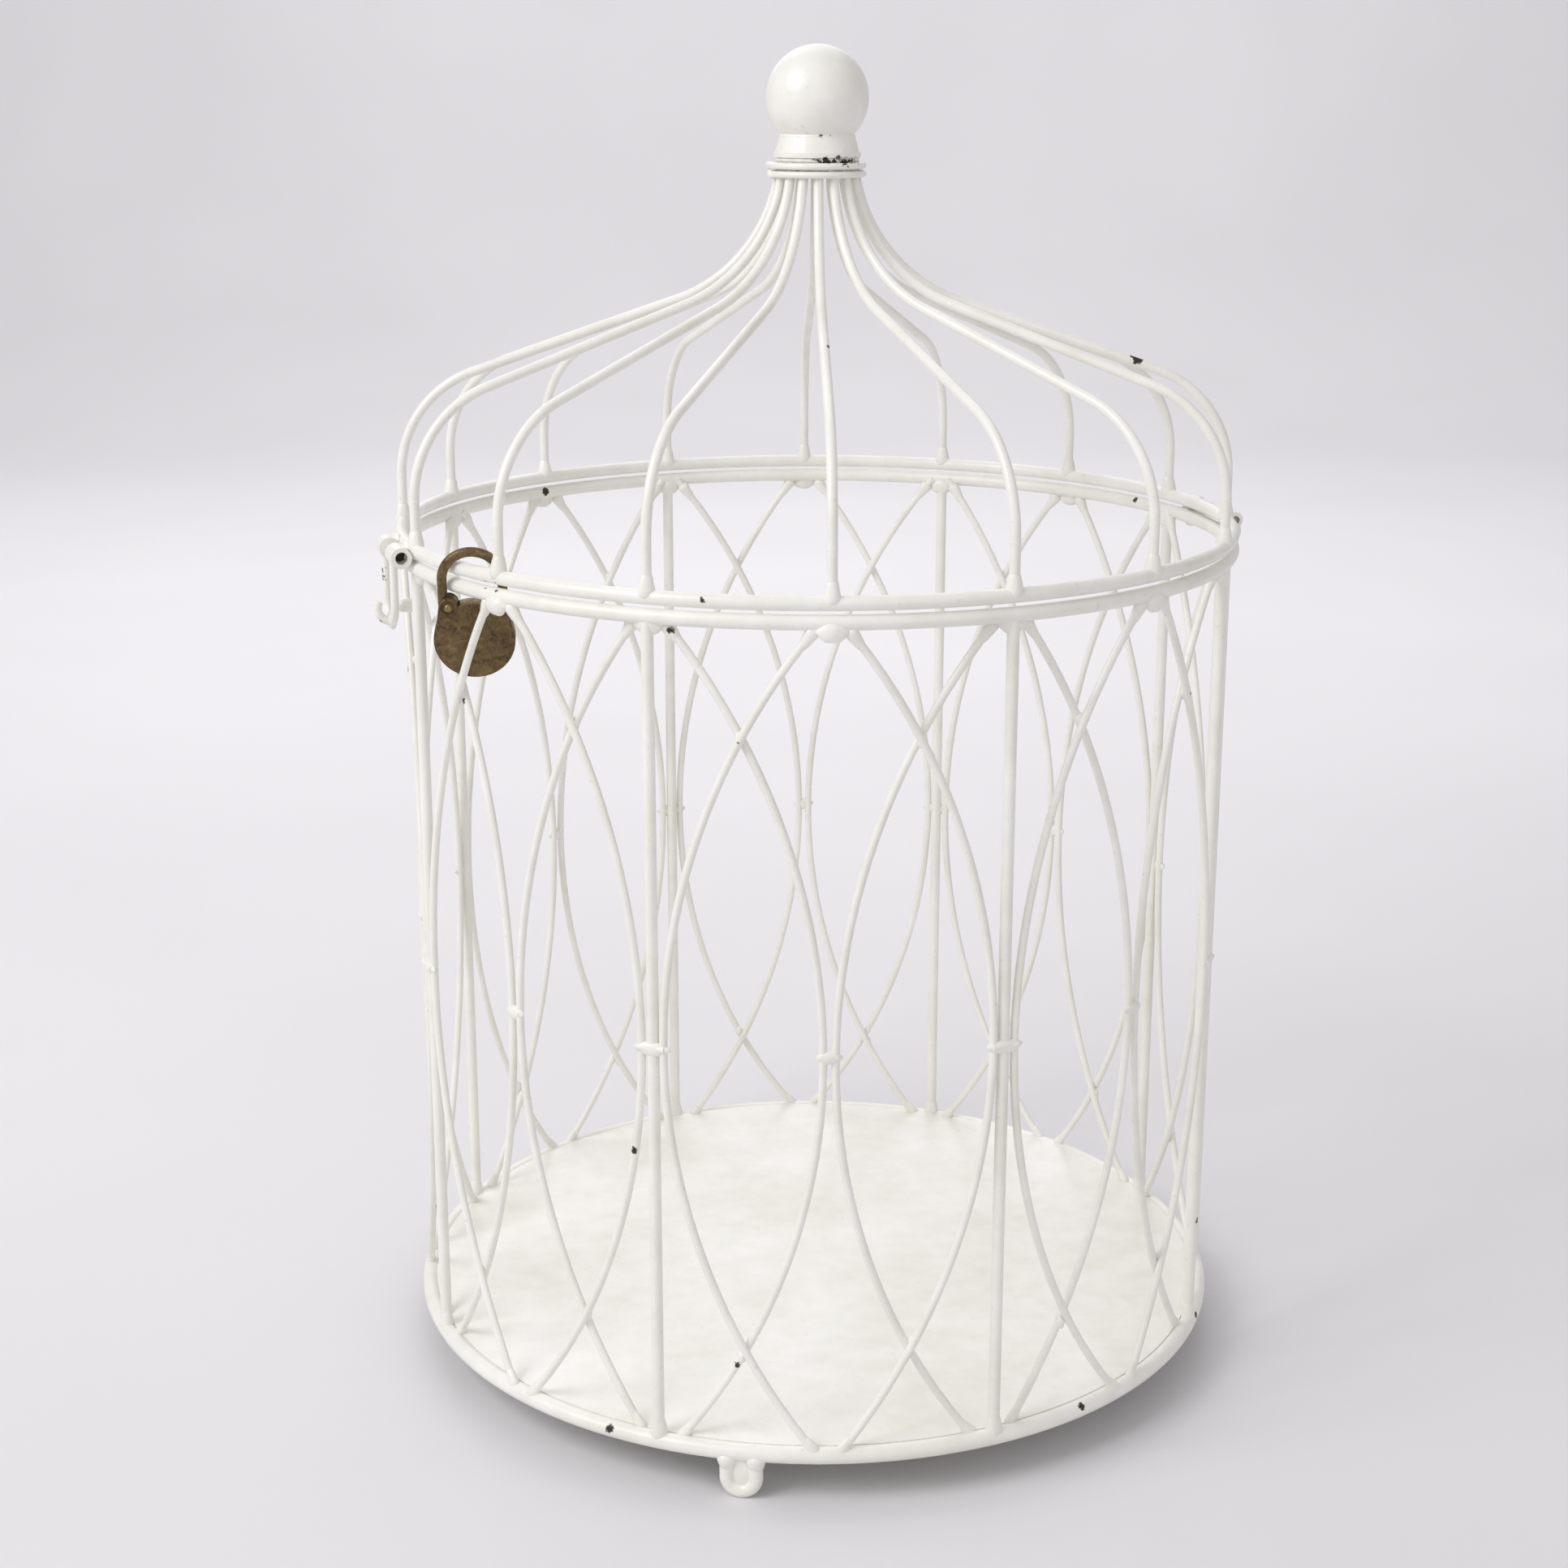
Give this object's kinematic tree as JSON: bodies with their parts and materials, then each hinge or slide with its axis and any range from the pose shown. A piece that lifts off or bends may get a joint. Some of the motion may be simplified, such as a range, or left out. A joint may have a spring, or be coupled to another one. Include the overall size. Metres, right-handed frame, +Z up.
{
  "type": "card box",
  "caption": "White wire birdcage card box with a floor plate, a hinged onion-dome lid with a ball finial, a wire hasp and a small antique padlock hung through both rings.",
  "frame": {"origin": "on the surface the box stands on, under the cage's axis", "axes": "+Z up; +X towards the lid's hinge, so the latch is near -X; the picture looks in from -Y, turned 12.45 degrees towards -X"},
  "size_m": [0.2657, 0.255, 0.3982],
  "materials": {
    "white_paint": "thick ivory-white enamel, satin, chipped at welds",
    "floor_paint": "ivory-white enamel on flat sheet, satin",
    "ball_paint": "smooth ivory-white enamel, satin",
    "pin_steel": "plain steel wire",
    "antique_bronze": "mottled dark antique bronze patina",
    "rivet_bronze": "worn bright rivet head, dark round its edge"
  },
  "bodies": {
    "cage": {"base_ring": "white_paint", "floor_plate": "floor_paint", "feet": "white_paint", "body_ring": "white_paint", "waist_ties": "white_paint", "post_1": "white_paint", "post_2": "white_paint", "post_3": "white_paint", "post_4": "white_paint", "post_5": "white_paint", "post_6": "white_paint", "post_7": "white_paint", "post_8": "white_paint", "lattice_loop_1": "white_paint", "lattice_loop_2": "white_paint", "lattice_loop_3": "white_paint", "lattice_loop_4": "white_paint", "lattice_loop_5": "white_paint", "lattice_loop_6": "white_paint", "lattice_loop_7": "white_paint", "lattice_loop_8": "white_paint", "lattice_loop_9": "white_paint", "lattice_loop_10": "white_paint", "lattice_loop_11": "white_paint", "lattice_loop_12": "white_paint", "lattice_loop_13": "white_paint", "lattice_loop_14": "white_paint", "lattice_loop_15": "white_paint", "lattice_loop_16": "white_paint", "hinge_ears": "white_paint", "hinge_pin": "pin_steel", "latch_knob": "white_paint"},
    "lid": {"lid_ring": "white_paint", "dome_wire_1": "white_paint", "dome_wire_2": "white_paint", "dome_wire_3": "white_paint", "dome_wire_4": "white_paint", "dome_wire_5": "white_paint", "dome_wire_6": "white_paint", "dome_wire_7": "white_paint", "dome_wire_8": "white_paint", "dome_wire_9": "white_paint", "dome_wire_10": "white_paint", "dome_wire_11": "white_paint", "dome_wire_12": "white_paint", "dome_wire_13": "white_paint", "dome_wire_14": "white_paint", "dome_wire_15": "white_paint", "dome_wire_16": "white_paint", "crown_cap": "white_paint", "crown_binding": "white_paint", "finial_ball": "ball_paint", "finial_screw": "pin_steel", "hinge_tube": "white_paint", "latch_barrels": "white_paint"},
    "hasp": {"hasp": "white_paint"},
    "padlock": {"padlock_case": "antique_bronze", "padlock_rivet": "rivet_bronze"},
    "shackle": {"padlock_shackle": "antique_bronze"}
  },
  "joints": [
    {"name": "lid_hinge", "type": "hinge", "parent": "cage", "child": "lid", "pos_m": [0.12867, 0, 0.2574], "axis": [0, 1, 0], "range_deg": [0, 110]},
    {"name": "hasp_pivot", "type": "hinge", "parent": "lid", "child": "hasp", "pos_m": [-0.12865, -0.01466, 0.2576], "axis": [-0.1132, 0.9936, 0], "range_deg": [-6, 100]},
    {"name": "padlock_swing", "type": "hinge", "parent": "cage", "child": "padlock", "pos_m": [-0.11206, -0.05538, 0.2565], "axis": [0.443, -0.8965, 0], "range_deg": [0, 8]},
    {"name": "shackle_pivot", "type": "hinge", "parent": "padlock", "child": "shackle", "pos_m": [-0.11623, -0.05125, 0.24854], "axis": [-0.1518, -0.9583, -0.2419], "range_deg": [0, 45]}
  ]
}
